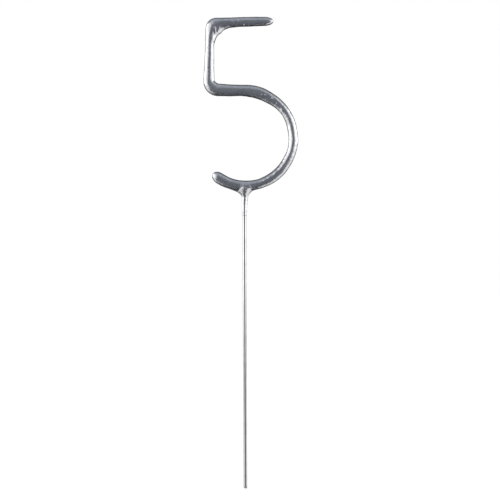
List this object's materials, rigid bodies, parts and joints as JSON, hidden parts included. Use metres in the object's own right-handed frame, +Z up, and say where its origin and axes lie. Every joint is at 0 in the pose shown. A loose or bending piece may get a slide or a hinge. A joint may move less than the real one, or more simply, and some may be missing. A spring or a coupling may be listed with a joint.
{
  "type": "number sparkler candle",
  "caption": "Number sparkler for a cake: a wire bent into a five, dipped in sparkler mix and painted silver, on a bare straight wire stem.",
  "frame": {"origin": "middle of the stem's cut lower end", "axes": "+Z up along the stem, +X to the right as the five reads, and the five faces -Y"},
  "size_m": [0.0361, 0.0038, 0.18],
  "materials": {
    "stem_steel": "bright drawn wire with fine lines along it",
    "numeral_steel": "drawn wire",
    "weld_metal": "rough",
    "first_mix": "matte, grainy",
    "second_mix": "matte, grainy",
    "silver_paint": "satin silver paint with fine grain"
  },
  "bodies": {
    "root": {"stem_wire": "stem_steel", "numeral_wire": "numeral_steel", "weld_nugget": "weld_metal", "first_dip": "first_mix", "second_dip": "second_mix", "silver_paint": "silver_paint"}
  },
  "joints": []
}
